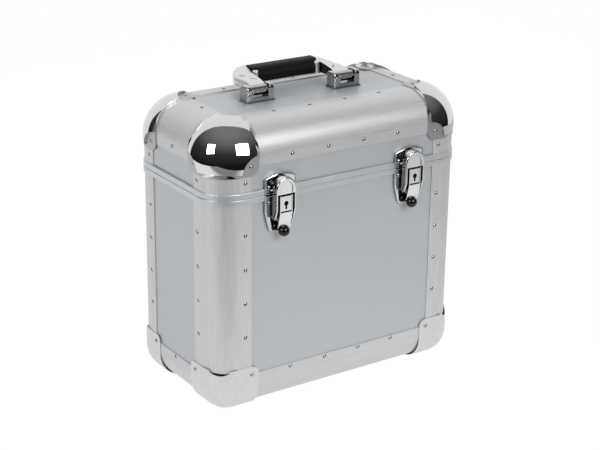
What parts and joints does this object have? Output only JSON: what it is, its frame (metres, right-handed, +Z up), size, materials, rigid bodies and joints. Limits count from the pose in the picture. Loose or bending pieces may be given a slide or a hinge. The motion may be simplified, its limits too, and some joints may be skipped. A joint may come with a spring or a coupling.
{
  "type": "record carrying case",
  "caption": "Upright carrying case with rounded metal edges, a hinged lid with ball corners, draw latches and a folding top handle.",
  "frame": {"origin": "centre of the bounding box at floor level, under the feet", "axes": "+X along the width, -Y the side with the latches, +Y the hinge side, +Z up"},
  "size_m": [0.3798, 0.2232, 0.4005],
  "materials": {
    "panel": "smooth satin laminate",
    "profile": "finely brushed",
    "closure_frame": "satin",
    "ball_corner": "polished",
    "bottom_cap": "smooth plated",
    "rivet": "polished",
    "foot": "matt",
    "hinge": "plated",
    "latch": "polished",
    "latch_tip": "glossy",
    "bracket": "polished",
    "handle_bow": "satin plated",
    "handle_grip": "smooth satin"
  },
  "bodies": {
    "lid": {"ball_corner_front_left": "ball_corner", "ball_corner_front_right": "ball_corner", "ball_corner_rear_left": "ball_corner", "ball_corner_rear_right": "ball_corner", "handle_bracket_left": "bracket", "handle_bracket_right": "bracket", "handle_pins": "bracket", "hinge_lid_leaf": "hinge", "latch_keeper_left": "latch", "latch_keeper_right": "latch", "lid_back_panel": "panel", "lid_closure_frame": "closure_frame", "lid_corner_profile_front_left": "profile", "lid_corner_profile_front_right": "profile", "lid_corner_profile_rear_left": "profile", "lid_corner_profile_rear_right": "profile", "lid_front_panel": "panel", "lid_left_panel": "panel", "lid_right_panel": "panel", "lid_rivets": "rivet", "lid_top_panel": "panel", "top_profile_front": "profile", "top_profile_left": "profile", "top_profile_rear": "profile", "top_profile_right": "profile"},
    "case_body": {"body_back_panel": "panel", "body_closure_frame": "closure_frame", "body_corner_profile_front_left": "profile", "body_corner_profile_front_right": "profile", "body_corner_profile_rear_left": "profile", "body_corner_profile_rear_right": "profile", "body_floor_panel": "panel", "body_front_panel": "panel", "body_left_panel": "panel", "body_right_panel": "panel", "body_rivets": "rivet", "bottom_cap_front_left": "bottom_cap", "bottom_cap_front_right": "bottom_cap", "bottom_cap_rear_left": "bottom_cap", "bottom_cap_rear_right": "bottom_cap", "bottom_profile_front": "profile", "bottom_profile_left": "profile", "bottom_profile_rear": "profile", "bottom_profile_right": "profile", "feet": "foot", "hinge_body_leaf": "hinge", "hinge_pin": "hinge", "latch_base_left": "latch", "latch_base_right": "latch", "latch_pivot_pins": "latch"},
    "handle": {"handle_bow": "handle_bow", "handle_grip": "handle_grip"},
    "bail_left": {"latch_bail_left": "latch"},
    "bail_right": {"latch_bail_right": "latch"},
    "lever_left": {"latch_lever_left": "latch", "latch_lock_left": "latch", "latch_tip_left": "latch_tip"},
    "lever_right": {"latch_lever_right": "latch", "latch_lock_right": "latch", "latch_tip_right": "latch_tip"}
  },
  "joints": [
    {"name": "lid_hinge", "type": "hinge", "parent": "case_body", "child": "lid", "pos_m": [0, 0.1086, 0.284], "axis": [-1, 0, 0], "range_deg": [0, 105]},
    {"name": "lever_left", "type": "hinge", "parent": "case_body", "child": "lever_left", "pos_m": [-0.096, -0.1049, 0.281], "axis": [-1, 0, 0], "range_deg": [0, 110]},
    {"name": "bail_left", "type": "hinge", "parent": "lever_left", "child": "bail_left", "pos_m": [-0.096, -0.1029, 0.257], "axis": [-1, 0, 0], "range_deg": [-83, 0]},
    {"name": "lever_right", "type": "hinge", "parent": "case_body", "child": "lever_right", "pos_m": [0.096, -0.1049, 0.281], "axis": [-1, 0, 0], "range_deg": [0, 110]},
    {"name": "bail_right", "type": "hinge", "parent": "lever_right", "child": "bail_right", "pos_m": [0.096, -0.1029, 0.257], "axis": [-1, 0, 0], "range_deg": [-83, 0]},
    {"name": "handle_fold", "type": "hinge", "parent": "lid", "child": "handle", "pos_m": [-0.0035, -0.0002, 0.383], "axis": [1, 0, 0], "range_deg": [0, 90]}
  ],
  "couplings": [
    {"joint": "bail_left", "follows": "lever_left", "ratio": -0.75},
    {"joint": "bail_right", "follows": "lever_right", "ratio": -0.75}
  ]
}
